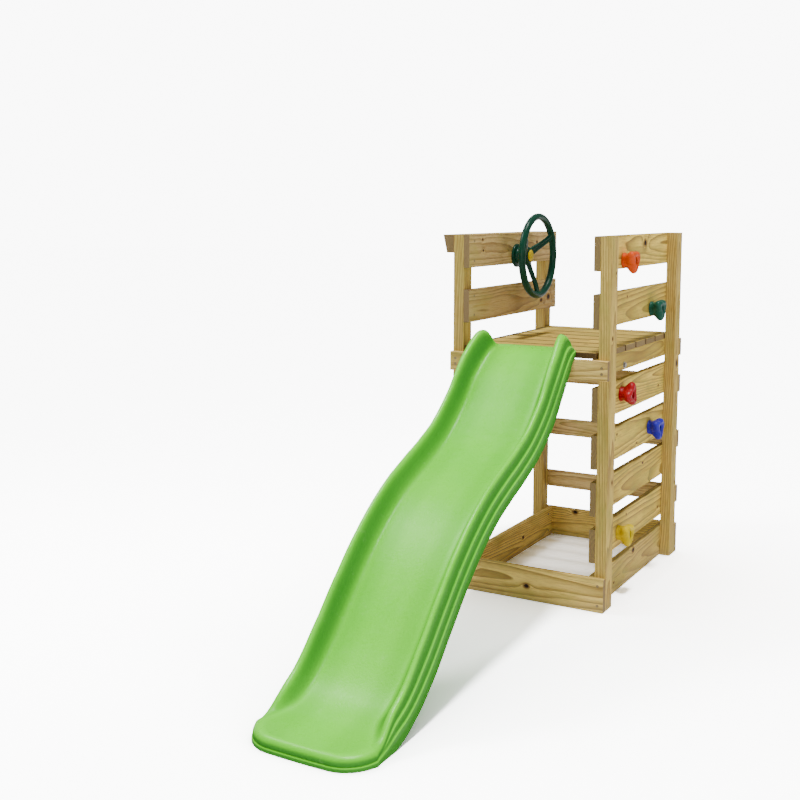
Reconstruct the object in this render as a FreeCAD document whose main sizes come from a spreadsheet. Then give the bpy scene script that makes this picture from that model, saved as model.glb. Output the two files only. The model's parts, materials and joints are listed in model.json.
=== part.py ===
import FreeCAD, Part
import math
import os
import re

# Timber play tower with a climbing wall on its right side, a wavy slide at the front, a ladder of
# rungs at the back, a sandpit frame at the foot and a steering wheel on the left rail.
# Millimetres, +Z up. The origin is on the ground at the middle of the whole object; -Y is the
# slide's end and +X is the climbing side.

DIMENSIONS = {
    # tower frame
    "right_face": 312.5, "front_face": 294.0, "tower_width": 594.0, "tower_depth": 806.0,
    "post_width": 41.0, "post_depth": 65.0, "post_height": 1290.0,
    "board_thick": 22.0, "board_height": 118.0, "batten_thick": 23.0, "batten_height": 68.0,
    "edge_round": 2.5,
    # heights of the pieces
    "rail_lower_base": 976.0, "joist_base": 808.0, "joist_height": 66.0, "fascia_base": 804.0,
    "climb_pitch": 164.5, "rung_base": 207.0, "rung_pitch": 225.0,
    # deck
    "slat_thick": 21.0, "slat_width": 104.5, "slat_gap": 10.0, "front_strip_width": 42.0,
    "front_strip_short": 10.0, "back_strip_width": 66.0,
    # beam that ties the tower to a swing frame
    "beam_width": 42.0, "beam_height": 66.0, "beam_end_cut": 28.0,
    "beam_hole_radius": 5.25, "beam_hole_inset": 143.0,
    # steering wheel
    "wheel_height": 1203.0, "rim_radius": 149.0, "rim_tube": 14.0, "rim_offset": 91.0,
    "base_radius": 45.0, "base_thick": 10.0, "neck_radius": 28.0, "neck_end": 28.0,
    "spigot_radius": 12.0, "spigot_end": 48.0, "running_gap": 0.05,
    "hub_radius": 35.0, "hub_start": 28.8, "hub_end": 60.0, "spoke_radius": 9.0, "cap_radius": 22.5,
    "cap_thick": 7.0, "pocket_radius": 19.0,
    # climbing holds
    "hold_depth": 52.0,
    # slide
    "slide_wall": 5.0, "slide_half_width": 190.5, "rail_height": 62.0, "flank_depth": 43.0,
    # fixings
    "screw_length": 55.0, "screw_radius": 2.5, "screw_head_radius": 5.0, "screw_head_thick": 3.5,
    "screw_inset": 24.0, "drill_gap": 0.1, "side_screw_inset": 42.0, "cross_screw_length": 45.0,
    "bolt_radius": 4.0, "bolt_head_radius": 8.5, "bolt_head_thick": 5.0, "nut_thick": 7.0,
    "washer_radius": 12.0, "washer_thick": 1.6,
}

doc = FreeCAD.newDocument("play_tower")
sheet = doc.addObject("Spreadsheet::Sheet", "Sizes")
for row, (alias, size) in enumerate(DIMENSIONS.items(), start=1):
    sheet.set("A%d" % row, alias)
    sheet.set("B%d" % row, str(size))
    sheet.setAlias("B%d" % row, alias)
doc.recompute()


def value(alias):
    """A driving dimension, read from the sheet."""
    return float(sheet.get(alias))


def bind(obj, path, formula):
    """Ties a property to a formula in the sheet's aliases, such as "post_width / 2"."""
    text = re.sub(r"[a-z][a-z_]+", lambda word: "Sizes." + word.group(0), str(formula))
    obj.setExpression(path, text)


# ---------------------------------------------------------------------------- named places
RIGHT = "right_face"
LEFT = "(right_face - tower_width)"
FRONT = "front_face"
BACK = "(front_face + tower_depth)"
RIGHT_INNER = "(right_face - post_width)"
LEFT_INNER = "(right_face - tower_width + post_width)"

right_face = value("right_face")
left_face = right_face - value("tower_width")
front_face = value("front_face")
back_face = front_face + value("tower_depth")
right_inner = right_face - value("post_width")
left_inner = left_face + value("post_width")
board_thick = value("board_thick")
batten_thick = value("batten_thick")
board_right_inner = right_inner - board_thick
board_left_inner = left_inner + board_thick
middle_x = (right_face + left_face) / 2

finished = {}       # label of each sub-part: its document object
timbers = []        # sawn pieces waiting to be drilled: (label, object)
fixing_groups = {}  # label of a group of fixings: its list of solids
drills = []         # solids that are removed from every timber that they pass through


# ---------------------------------------------------------------------------- sawn timber
def block(name, size, corner):
    """A box bound to the sheet, from three size formulas and three corner formulas."""
    box = doc.addObject("Part::Box", name)
    for prop, formula in zip(("Length", "Width", "Height"), size):
        bind(box, prop, formula)
    for axis, formula in zip("xyz", corner):
        bind(box, "Placement.Base." + axis, formula)
    return box


def timber(label, size, corner):
    """A planed board: a block with its four long edges rounded. It is drilled later."""
    blank = block(label + "_blank", size, corner)
    doc.recompute()
    lengths = (blank.Length.Value, blank.Width.Value, blank.Height.Value)
    longest = max(lengths)
    rounded = doc.addObject("Part::Fillet", label + "_planed")
    rounded.Base = blank
    radius = value("edge_round")
    rounded.Edges = [(number, radius, radius) for number, edge in enumerate(blank.Shape.Edges, start=1)
                     if abs(edge.Length - longest) < 0.01]
    timbers.append((label, rounded))
    return rounded


def make_posts():
    size = ("post_width", "post_depth", "post_height")
    for side, x in (("left", LEFT), ("right", RIGHT_INNER)):
        for end, y in (("front", FRONT), ("back", BACK + " - post_depth")):
            timber("post_%s_%s" % (end, side), size, (x, y, "0"))


def make_side_boards():
    """Boards on the inner faces of the posts: climbing wall on the right, open rail on the left."""
    size = ("board_thick", "tower_depth", "board_height")
    right_x = RIGHT_INNER + " - board_thick"
    top_base = "post_height - board_height"
    timber("climb_board_1", size, (right_x, FRONT, top_base))
    timber("climb_board_2", size, (right_x, FRONT, "rail_lower_base"))
    for number in range(4):
        base = "climb_pitch * %d" % (4 - number)
        timber("climb_board_%d" % (number + 3), size, (right_x, FRONT, base))
    timber("rail_left_top", size, (LEFT_INNER, FRONT, top_base))
    timber("rail_left_lower", size, (LEFT_INNER, FRONT, "rail_lower_base"))
    joist = ("board_thick", "tower_depth", "joist_height")
    timber("joist_right", joist, (right_x, FRONT, "joist_base"))
    timber("joist_left", joist, (LEFT_INNER, FRONT, "joist_base"))
    timber("sandpit_board_right", size, (right_x, FRONT, "0"))
    timber("sandpit_board_left", size, (LEFT_INNER, FRONT, "0"))


def make_cross_pieces():
    """Boards and battens across the front and the back, on the outside of the posts."""
    board = ("tower_width", "batten_thick", "board_height")
    batten = ("tower_width", "batten_thick", "batten_height")
    front_y = FRONT + " - batten_thick"
    timber("sandpit_board_front", board, (LEFT, front_y, "0"))
    timber("front_fascia", batten, (LEFT, front_y, "fascia_base"))
    timber("sandpit_board_back", board, (LEFT, BACK, "0"))
    timber("deck_back_board", batten, (LEFT, BACK, "fascia_base"))
    for number in range(3):
        base = "rung_base + rung_pitch * %d" % (2 - number)
        timber("ladder_rung_%d" % (number + 1), batten, (LEFT, BACK, base))


def make_deck():
    """Six slats across the joists, with a narrow strip between each pair of posts."""
    span = "tower_width - 2 * post_width"
    base = "joist_base + joist_height"
    pitch = "(slat_width + slat_gap)"
    for number in range(6):
        y = FRONT + " + front_strip_width + slat_gap + %s * %d" % (pitch, number)
        timber("deck_slat_%d" % (number + 1), (span, "slat_width", "slat_thick"), (LEFT_INNER, y, base))
    timber("deck_front_strip", (span + " - 2 * front_strip_short", "front_strip_width", "slat_thick"),
           (LEFT_INNER + " + front_strip_short", FRONT, base))
    timber("deck_back_strip", (span + " - 2", "back_strip_width", "slat_thick"),
           (LEFT_INNER + " + 1", BACK + " - back_strip_width", base))


def make_swing_beam():
    """Beam along the outside of the left posts, with slanted ends and two holes for a swing frame."""
    cut = value("beam_end_cut")
    width = value("beam_width")
    top = value("post_height")
    bottom = top - value("beam_height")
    outline = [FreeCAD.Vector(left_face - width, y, z) for y, z in (
        (front_face, top), (back_face, top), (back_face - cut, bottom), (front_face + cut, bottom))]
    side = Part.Face(Part.makePolygon(outline + outline[:1]))
    beam = side.extrude(FreeCAD.Vector(width, 0, 0))
    long_edges = [edge for edge in beam.Edges if edge.Length > value("tower_depth") - 3 * cut]
    blank = doc.addObject("Part::Feature", "swing_beam_planed")
    blank.Shape = beam.makeFillet(value("edge_round"), long_edges)
    timbers.append(("swing_frame_beam", blank))
    middle = (front_face + back_face) / 2
    reach = value("tower_depth") / 2 - value("beam_hole_inset")
    for y in (middle - reach, middle + reach):
        place = FreeCAD.Vector(left_face - width - 1, y, (top + bottom) / 2)
        drills.append(Part.makeCylinder(value("beam_hole_radius"), width + 2, place,
                                        FreeCAD.Vector(1, 0, 0)))


# ---------------------------------------------------------------------------- fixings
def stepped_pin(parts, place, direction):
    """Cylinders end to end along one axis, from (radius, length) pairs."""
    solid = None
    start = FreeCAD.Vector(place)
    for radius, length in parts:
        piece = Part.makeCylinder(radius, length, start, direction)
        solid = piece if solid is None else solid.fuse(piece)
        start = start + direction * length
    return solid.removeSplitter()


def screw(group, place, direction, length=None):
    """A countersunk wood screw from the board's face at place, and the hole that it fills."""
    length = length or value("screw_length")
    gap = value("drill_gap")
    radius, head = value("screw_radius"), value("screw_head_radius")
    thick = value("screw_head_thick")
    axis = FreeCAD.Vector(*direction)
    place = FreeCAD.Vector(*place)
    fixing_groups.setdefault(group, []).append(
        stepped_pin([(head, thick), (radius, length - thick)], place, axis))
    drills.append(stepped_pin([(head + gap, thick + 1 + gap), (radius + gap, length - thick)],
                              place - axis, axis))


def side_screws():
    """Two screws at each end of every side board, driven from the inside into the posts."""
    inset = value("screw_inset")
    board_height, joist_height = value("board_height"), value("joist_height")
    pitch = value("climb_pitch")
    top = value("post_height") - board_height
    lower, joist = value("rail_lower_base"), value("joist_base")
    right = [(top, board_height), (lower, board_height), (joist, joist_height), (0, board_height)]
    right += [(pitch * number, board_height) for number in range(1, 5)]
    left = [(top, board_height), (lower, board_height), (joist, joist_height), (0, board_height)]
    ends = (front_face + value("side_screw_inset"), back_face - value("side_screw_inset"))
    for group, face, way, boards in (("screws_climbing_wall", board_right_inner, 1, right),
                                     ("screws_left_side", board_left_inner, -1, left)):
        for base, height in boards:
            for y in ends:
                for z in (base + inset, base + height - inset):
                    screw(group, (face, y, z), (way, 0, 0))


def cross_screws():
    """Two screws at each end of every board across the front and the back."""
    inset = value("screw_inset")
    board_height, batten_height = value("board_height"), value("batten_height")
    fascia = value("fascia_base")
    front = [(0, board_height), (fascia, batten_height)]
    back = [(0, board_height), (fascia, batten_height)]
    back += [(value("rung_base") + value("rung_pitch") * number, batten_height) for number in range(3)]
    ends = (left_face + value("post_width") / 2, right_face - value("post_width") / 2)
    for group, face, way, boards in (("screws_front", front_face - batten_thick, 1, front),
                                     ("screws_back", back_face + batten_thick, -1, back)):
        for base, height in boards:
            for x in ends:
                for z in (base + inset, base + height - inset):
                    screw(group, (x, face, z), (0, way, 0), value("cross_screw_length"))


def deck_screws():
    """Two screws at each end of every slat and one at each end of the narrow strips."""
    top = value("joist_base") + value("joist_height") + value("slat_thick")
    width, gap = value("slat_width"), value("slat_gap")
    strip = value("front_strip_width")
    inset = value("screw_inset")
    rows = [front_face + strip / 2, back_face - strip / 2]
    for number in range(6):
        start = front_face + strip + gap + (width + gap) * number
        rows += [start + inset, start + width - inset]
    for x in (right_inner - board_thick / 2 - 2, left_inner + board_thick / 2 + 2):
        for y in rows:
            screw("screws_deck", (x, y, top), (0, 0, -1))


def beam_screws():
    """Two long screws through the swing beam into each left post."""
    top = value("post_height")
    length = value("screw_length") + 15
    for y in (front_face + value("post_depth") - 15, back_face - value("post_depth") + 15):
        for z in (top - 20, top - value("beam_height") + 20):
            screw("screws_swing_beam", (left_face - value("beam_width"), y, z), (1, 0, 0), length)


def bolt_through(group, place, direction, grip):
    """A bolt through a timber with a washer under its head, and a washer and nut on the far side."""
    radius, head = value("bolt_radius"), value("bolt_head_radius")
    head_thick, nut_thick = value("bolt_head_thick"), value("nut_thick")
    washer_radius, washer_thick = value("washer_radius"), value("washer_thick")
    axis = FreeCAD.Vector(*direction)
    place = FreeCAD.Vector(*place)
    shank = washer_thick + grip + washer_thick + nut_thick
    bolt = stepped_pin([(head, head_thick), (radius, shank)],
                       place - axis * (washer_thick + head_thick), axis)
    fixing_groups.setdefault(group + "_bolts", []).append(bolt)
    hole = radius + value("drill_gap")
    far = place + axis * grip
    for start in (place - axis * washer_thick, far):
        washer = ring(washer_radius, hole, washer_thick, start, axis)
        fixing_groups.setdefault(group + "_washers", []).append(washer)
    nut = hexagon(head * 0.88, nut_thick, far + axis * washer_thick, axis)
    nut = nut.cut(Part.makeCylinder(hole, nut_thick, far + axis * washer_thick, axis))
    fixing_groups.setdefault(group + "_nuts", []).append(nut)
    drills.append(Part.makeCylinder(hole, grip + 2, place - axis, axis))


def ring(outer, inner, thick, place, axis):
    return Part.makeCylinder(outer, thick, place, axis).cut(Part.makeCylinder(inner, thick, place, axis))


def hexagon(radius, thick, place, axis):
    """A six-sided prism of the given corner radius."""
    sixth = math.pi / 3
    corners = [FreeCAD.Vector(radius * math.cos(sixth * turn), radius * math.sin(sixth * turn), 0)
               for turn in range(7)]
    prism = Part.Face(Part.makePolygon(corners)).extrude(FreeCAD.Vector(0, 0, thick))
    prism.Placement = FreeCAD.Placement(place, FreeCAD.Rotation(FreeCAD.Vector(0, 0, 1), axis))
    return prism


# ---------------------------------------------------------------------------- climbing holds
# name, height on the wall, distance behind the tower's front, turn of its three lobes in degrees
HOLDS = (
    ("orange", 1201.0, 234.0, 62.0), ("green", 1008.0, 556.0, 58.0), ("red", 725.0, 234.0, 20.0),
    ("blue", 550.0, 566.0, 55.0), ("yellow", 217.0, 236.0, 66.0),
)
# distance from the board, mean radius and depth of the lobes at each step of a hold's outline
HOLD_STEPS = (
    (0.0, 27.0, 0.0), (14.0, 25.5, 1.5), (21.0, 30.0, 5.0), (28.0, 35.5, 8.0),
    (38.0, 36.5, 9.0), (46.0, 34.0, 8.5), (52.0, 28.0, 6.0),
)


def lobed_outline(distance, mean_radius, lobe, turn, count=24):
    """A closed three-lobed curve at one distance from the wall."""
    points = []
    for step in range(count):
        angle = 2 * math.pi * step / count
        reach = mean_radius + lobe * math.cos(3 * (angle - math.radians(turn)))
        points.append(FreeCAD.Vector(distance, reach * math.sin(angle), reach * math.cos(angle)))
    curve = Part.BSplineCurve()
    curve.interpolate(Points=points, PeriodicFlag=True)
    return Part.Wire(curve.toShape())


def make_holds():
    """Moulded holds: a neck that flares into three rounded lobes, with finger pockets and a bolt."""
    scale = value("hold_depth") / HOLD_STEPS[-1][0]
    hole = value("bolt_radius") + value("drill_gap")
    recess_radius, recess_depth = 13.0, 20.0
    outward = FreeCAD.Vector(1, 0, 0)
    for name, height, behind, turn in HOLDS:
        outlines = [lobed_outline(distance * scale, radius, lobe, turn)
                    for distance, radius, lobe in HOLD_STEPS]
        body = Part.makeLoft(outlines, True, False)
        edge = max(body.Edges, key=lambda item: item.CenterOfMass.x)
        body = body.makeFillet(5.0, [edge])
        front = value("hold_depth")
        body = body.cut(Part.makeCylinder(hole, front + 2, FreeCAD.Vector(-1, 0, 0), outward))
        body = body.cut(Part.makeCylinder(recess_radius, recess_depth + 1,
                                          FreeCAD.Vector(front - recess_depth, 0, 0), outward))
        lobe_angle = math.radians(turn + 120)
        pocket = Part.makeSphere(9.0, FreeCAD.Vector(front + 1, 26 * math.sin(lobe_angle),
                                                     26 * math.cos(lobe_angle)))
        place = FreeCAD.Vector(right_inner, front_face + behind, height)
        feature = doc.addObject("Part::Feature", "climbing_hold_" + name)
        feature.Shape = body.cut(pocket)
        feature.Placement = FreeCAD.Placement(place, FreeCAD.Rotation())
        finished["climbing_hold_" + name] = feature
        head = (right_inner + front - recess_depth, place.y, place.z)
        grip = front - recess_depth + board_thick
        bolt_through("hold", head, (-1, 0, 0), grip)


# ---------------------------------------------------------------------------- slide
# The bed's line: distance in front of the tower's front face (negative is behind), and height.
BED_LINE = (
    (-38, 903), (30, 900), (80, 880), (160, 815), (260, 711), (360, 634), (460, 583), (560, 542),
    (660, 496), (760, 433), (860, 352), (960, 256), (1060, 158), (1160, 82), (1260, 45), (1340, 34),
    (1417, 31),
)
STRIP_TOP = 895.3      # the lip rests just above the deck's front strip
SEAT_GAP = 0.3         # between the moulding and the timber that it sits on
FLANGE_WIDTH = 260.0
FLANGE_HEIGHT = 76.0
FLANGE_BASE = 16.0     # above the fascia's lower edge
FLANGE_BOLT_REACH = 95.0
EAR_START = -4.0       # where the side rails begin to rise, in front of the tower's front face
EAR_LENGTH = 105.0
FOOT_CORNER = 92.0


def blend(low, high, x):
    """0 below low, 1 above high and a smooth step between."""
    share = min(max((x - low) / (high - low), 0.0), 1.0)
    return share * share * (3 - 2 * share)


def bed_at(ahead):
    """Height and slope of the bed, from a smooth curve through BED_LINE."""
    spans = list(zip(BED_LINE, BED_LINE[1:]))
    number = next((n for n, (start, end) in enumerate(spans) if ahead <= end[0]), len(spans) - 1)

    def slope(index):
        first = BED_LINE[max(index - 1, 0)]
        last = BED_LINE[min(index + 1, len(BED_LINE) - 1)]
        return (last[1] - first[1]) / (last[0] - first[0])

    (x0, z0), (x1, z1) = spans[number]
    width = x1 - x0
    part = (ahead - x0) / width
    m0, m1 = slope(number) * width, slope(number + 1) * width
    height = ((2 * part**3 - 3 * part**2 + 1) * z0 + (part**3 - 2 * part**2 + part) * m0
              + (3 * part**2 - 2 * part**3) * z1 + (part**3 - part**2) * m1)
    steep = ((6 * part**2 - 6 * part) * z0 + (3 * part**2 - 4 * part + 1) * m0
             + (6 * part - 6 * part**2) * z1 + (3 * part**2 - 2 * part) * m1) / width
    return height, steep


def rail_share(ahead):
    """How much of the side rails' height stands at this place: none at the lip and on the foot."""
    top_end = math.sin(math.pi / 2 * min(max((ahead - EAR_START) / EAR_LENGTH, 0.0), 1.0))
    long_taper = 1 - 0.42 * blend(1080, 1270, ahead)
    foot_end = 1 - blend(1235, 1345, ahead)
    return top_end * long_taper * foot_end


def underside(ahead, height, stretch):
    """Height of the flanks' lower edge."""
    if ahead <= 0:
        return STRIP_TOP
    fascia_top = value("fascia_base") + value("batten_height") + 0.8
    if ahead <= 24:
        return STRIP_TOP + (fascia_top - STRIP_TOP) * ahead / 24
    hang = (value("flank_depth") + 7.0 * (1 - blend(60, 400, ahead))) * stretch
    start = height - fascia_top
    lower = height - (start + (hang - start) * min((ahead - 24) / 40, 1.0))
    return lower * (1 - blend(1140, 1300, ahead))


def slide_outline(ahead, inset):
    """A closed section across the slide, drawn on a vertical plane; inset makes the hollow's."""
    height, steep = bed_at(ahead)
    stretch = math.sqrt(1 + steep * steep)
    share = rail_share(ahead)
    rise = value("rail_height") * stretch * share
    low = underside(ahead, height, stretch)
    half = value("slide_half_width") - 40.0 * (1 - blend(-38, 10, ahead))
    drop = height - inset * stretch
    crest = height + rise - inset * stretch
    floor = low - (3.0 if inset else 0.0)
    ledge = height + rise * 0.40 - inset * stretch * 0.6
    second = height - (height - low) * 0.12 - inset * stretch * 0.6
    corners = [
        (half - 72 + inset * 0.4, drop),
        (half - 41 + inset * 0.8, drop + (crest - drop) * 0.36),
        (half - 33.5 + inset, drop + (crest - drop) * 0.82),
        (half - 24, crest),
        (half - 13.5 - inset, drop + (crest - drop) * 0.82),
        (half - 10.5 - inset, ledge + 3 * share),
        (half - 6.5 - inset, ledge),
        (half - 5.0 - inset, second + 3),
        (half - 1.5 - inset, second),
        (half - inset, floor),
    ]
    y = front_face - ahead

    def point(side, corner):
        return FreeCAD.Vector(middle_x + side * corner[0], y, corner[1])

    def rail(side):
        curve = Part.BSplineCurve()
        curve.interpolate(Points=[point(side, corner) for corner in corners[:5]],
                          Parameters=[0.0, 0.38, 0.55, 0.7, 1.0])
        return curve.toShape()

    edges = [Part.makeLine(point(-1, corners[0]), point(1, corners[0])), rail(1)]
    edges += [Part.makeLine(point(1, first), point(1, last))
              for first, last in zip(corners[4:], corners[5:])]
    edges.append(Part.makeLine(point(1, corners[-1]), point(-1, corners[-1])))
    edges += [Part.makeLine(point(-1, last), point(-1, first))
              for first, last in reversed(list(zip(corners[4:], corners[5:])))]
    left_rail = rail(-1)
    left_rail.reverse()
    edges.append(left_rail)
    return Part.Wire(Part.sortEdges(edges)[0])


def foot_plan(inset):
    """A tall prism over the slide, with round corners at the foot."""
    half = value("slide_half_width") + 20 - inset
    toe = BED_LINE[-1][0] - inset
    side = value("slide_half_width") - inset
    corner = FOOT_CORNER - inset

    def place(across, ahead):
        return FreeCAD.Vector(middle_x + across, front_face - ahead, -50)

    diagonal = math.sqrt(0.5)
    start = toe - corner - 8
    edges = [
        Part.makeLine(place(-half, -60), place(half, -60)),
        Part.makeLine(place(half, -60), place(half, start)),
        Part.makeLine(place(half, start), place(side, start)),
        Part.Arc(place(side, start), place(side - corner * (1 - diagonal), start + corner * diagonal),
                 place(side - corner, start + corner)).toShape(),
        Part.Arc(place(side - corner, start + corner), place(0, toe),
                 place(corner - side, start + corner)).toShape(),
        Part.Arc(place(corner - side, start + corner),
                 place(corner * (1 - diagonal) - side, start + corner * diagonal), place(-side, start)).toShape(),
        Part.makeLine(place(-side, start), place(-half, start)),
        Part.makeLine(place(-half, start), place(-half, -60)),
    ]
    return Part.Face(Part.Wire(edges)).extrude(FreeCAD.Vector(0, 0, 1100))


def make_slide():
    """One moulded channel, open below, with a lip on the deck and a flange bolted to the fascia."""
    wall = value("slide_wall")
    toe = BED_LINE[-1][0]
    stations = [EAR_START, 0, 8, 16, 24, 34, 48, 64, 84, 110] + list(range(140, 1200, 35))
    stations += [1200, 1230, 1255, 1280, 1305, 1330, 1350, 1375, toe]
    outer = Part.makeLoft([slide_outline(ahead, 0) for ahead in stations], True, False)
    lip = Part.makeLoft([slide_outline(ahead, 0) for ahead in (BED_LINE[0][0], EAR_START)], True, True)
    hollow_end = toe - FOOT_CORNER - 20
    hollow_stations = [ahead for ahead in stations if 40 < ahead < hollow_end - 10] + [hollow_end]
    hollow = Part.makeLoft([slide_outline(ahead, wall) for ahead in hollow_stations], True, False)
    width = 2 * (value("slide_half_width") - wall)
    foot_room = Part.makeBox(width, 120, bed_at(toe)[0] - wall + 20,
                             FreeCAD.Vector(middle_x - width / 2, front_face - toe - 10, -20))
    foot_room = foot_room.common(foot_plan(wall))
    below_ground = Part.makeBox(2 * width, 2 * toe, 100,
                                FreeCAD.Vector(middle_x - width, front_face - 1.5 * toe, -100))
    shell = outer.common(foot_plan(0)).cut(hollow).cut(foot_room).cut(below_ground).fuse(lip)
    seat = front_face - batten_thick - SEAT_GAP
    flange = Part.makeBox(FLANGE_WIDTH, wall, FLANGE_HEIGHT,
                          FreeCAD.Vector(middle_x - FLANGE_WIDTH / 2, seat - wall,
                                         value("fascia_base") + FLANGE_BASE))
    shell = shell.fuse(flange)
    feature = doc.addObject("Part::Feature", "slide_moulding")
    finished["slide"] = feature
    outward = FreeCAD.Vector(0, -1, 0)
    hole = value("bolt_radius") + value("drill_gap")
    for x in (middle_x - FLANGE_BOLT_REACH, middle_x + FLANGE_BOLT_REACH):
        place = FreeCAD.Vector(x, front_face, value("fascia_base") + 34)
        bolt_through("slide", place, outward, batten_thick + SEAT_GAP + wall)
        shell = shell.cut(Part.makeCylinder(hole, batten_thick + 2 * wall, place, outward))
    feature.Shape = shell


# ---------------------------------------------------------------------------- steering wheel
def across(name, radius, start, length):
    """A cylinder along X on the wheel's axis; start counts from the rail's inner face."""
    rod = doc.addObject("Part::Cylinder", name)
    bind(rod, "Radius", radius)
    bind(rod, "Height", length)
    bind(rod, "Placement.Base.x", LEFT_INNER + " + board_thick + " + start)
    bind(rod, "Placement.Base.y", FRONT + " + tower_depth / 2")
    bind(rod, "Placement.Base.z", "wheel_height")
    rod.Placement.Rotation = FreeCAD.Rotation(FreeCAD.Vector(0, 1, 0), 90)
    return rod


def combine(kind, name, parts):
    """A boolean of document objects: the first one fused with the rest, or cut by them."""
    if kind == "cut":
        result = doc.addObject("Part::Cut", name)
        result.Base = parts[0]
        tool = parts[1]
        if len(parts) > 2:
            tool = doc.addObject("Part::MultiFuse", name + "_tools")
            tool.Shapes = parts[1:]
        result.Tool = tool
        return result
    result = doc.addObject("Part::MultiFuse", name)
    result.Shapes = parts
    return result


def make_wheel_base():
    """Flange on the rail, a neck and the spigot that the wheel turns on."""
    flange = across("base_flange", "base_radius", "0", "base_thick")
    neck = across("base_neck", "neck_radius", "base_thick", "neck_end - base_thick")
    spigot = across("base_spigot", "spigot_radius", "neck_end", "spigot_end - neck_end")
    solid = combine("fuse", "base_solid", [flange, neck, spigot])
    bore = across("base_bore", "bolt_radius + drill_gap", "-1", "spigot_end + 2")
    finished["wheel_base"] = combine("cut", "wheel_base", [solid, bore])


def make_steering_wheel():
    """Rim, three spokes and a dished hub with a running bore and a pocket for the retaining bolt."""
    rim = doc.addObject("Part::Torus", "wheel_rim")
    bind(rim, "Radius1", "rim_radius")
    bind(rim, "Radius2", "rim_tube")
    bind(rim, "Placement.Base.x", LEFT_INNER + " + board_thick + rim_offset")
    bind(rim, "Placement.Base.y", FRONT + " + tower_depth / 2")
    bind(rim, "Placement.Base.z", "wheel_height")
    rim.Placement.Rotation = FreeCAD.Rotation(FreeCAD.Vector(0, 1, 0), 90)
    hub = across("wheel_hub", "hub_radius", "hub_start", "hub_end - hub_start")
    spokes = []
    inner_reach, inner_offset = 26.0, value("hub_start") + 16.0
    rise = value("rim_offset") - inner_offset
    run = value("rim_radius") - inner_reach
    centre_y = (front_face + back_face) / 2
    for number, angle in enumerate((30, 150, 270)):
        turn = math.radians(angle)
        out = FreeCAD.Vector(0, math.cos(turn), math.sin(turn))
        spoke = doc.addObject("Part::Cylinder", "wheel_spoke_%d" % (number + 1))
        bind(spoke, "Radius", "spoke_radius")
        spoke.Height = math.hypot(rise, run)
        heart = FreeCAD.Vector(board_left_inner + inner_offset, centre_y, value("wheel_height"))
        start = heart + out * inner_reach
        along = FreeCAD.Vector(rise, 0, 0) + out * run
        spoke.Placement = FreeCAD.Placement(start, FreeCAD.Rotation(FreeCAD.Vector(0, 0, 1), along))
        spokes.append(spoke)
    solid = combine("fuse", "wheel_solid", [rim, hub] + spokes)
    bore = across("wheel_bore", "spigot_radius + running_gap", "hub_start - 1", "spigot_end - hub_start + 1")
    pocket = across("wheel_pocket", "pocket_radius", "spigot_end - 0.3", "hub_end - spigot_end + 20")
    finished["steering_wheel"] = combine("cut", "steering_wheel", [solid, bore, pocket])


def make_wheel_fixings():
    """Domed cap over the pocket, and the bolt, washers and nut that hold the wheel to the rail."""
    disc = across("cap_disc", "cap_radius", "hub_end", "cap_thick / 2")
    plug = across("cap_plug", "pocket_radius - 0.3", "hub_end - 4", "4")
    crown = across("cap_crown", "cap_radius - 3.5", "hub_end + cap_thick / 2", "cap_thick / 2")
    finished["wheel_cap"] = combine("fuse", "wheel_cap", [disc, plug, crown])
    centre_y = (front_face + back_face) / 2
    axis = FreeCAD.Vector(1, 0, 0)
    height = value("wheel_height")
    hole = value("bolt_radius") + value("drill_gap")
    keeper_radius, keeper_thick = 17.0, 2.0
    head_radius, head_thick = 7.0, 4.5
    start = board_left_inner + value("spigot_end")
    keeper = ring(keeper_radius, hole, keeper_thick, FreeCAD.Vector(start, centre_y, height), axis)
    add_solids("wheel_keeper_washer", [keeper])
    shank = (keeper_thick + value("spigot_end") + board_thick + value("washer_thick")
             + value("nut_thick"))
    bolt = stepped_pin([(head_radius, head_thick), (value("bolt_radius"), shank)],
                       FreeCAD.Vector(start + keeper_thick + head_thick, centre_y, height), axis * -1)
    add_solids("wheel_axle_bolt", [bolt])
    outer = FreeCAD.Vector(left_inner, centre_y, height)
    washer = ring(value("washer_radius"), hole, value("washer_thick"), outer, axis * -1)
    nut_place = outer - axis * value("washer_thick")
    nut = hexagon(value("bolt_head_radius") * 0.88, value("nut_thick"), nut_place, axis * -1)
    nut = nut.cut(Part.makeCylinder(hole, value("nut_thick"), nut_place, axis * -1))
    add_solids("wheel_axle_nut", [washer, nut])
    drills.append(Part.makeCylinder(hole, board_thick + 2, outer - axis, axis))


# ---------------------------------------------------------------------------- finishing
def add_solids(label, solids):
    """A sub-part made of one or more separate solids."""
    feature = doc.addObject("Part::Feature", label)
    feature.Shape = solids[0] if len(solids) == 1 else Part.makeCompound(solids)
    finished[label] = feature


def drill_timbers():
    """Cuts every hole that passes through each timber."""
    doc.recompute()
    for label, blank in timbers:
        box = blank.Shape.BoundBox
        hits = [drill for drill in drills if drill.BoundBox.intersect(box)]
        hits = [drill for drill in hits if drill.common(blank.Shape).Volume > 0.1]
        holes = doc.addObject("Part::Feature", label + "_holes")
        holes.Shape = Part.makeCompound(hits)
        drilled = doc.addObject("Part::Cut", label)
        drilled.Base = blank
        drilled.Tool = holes
        finished[label] = drilled


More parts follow.
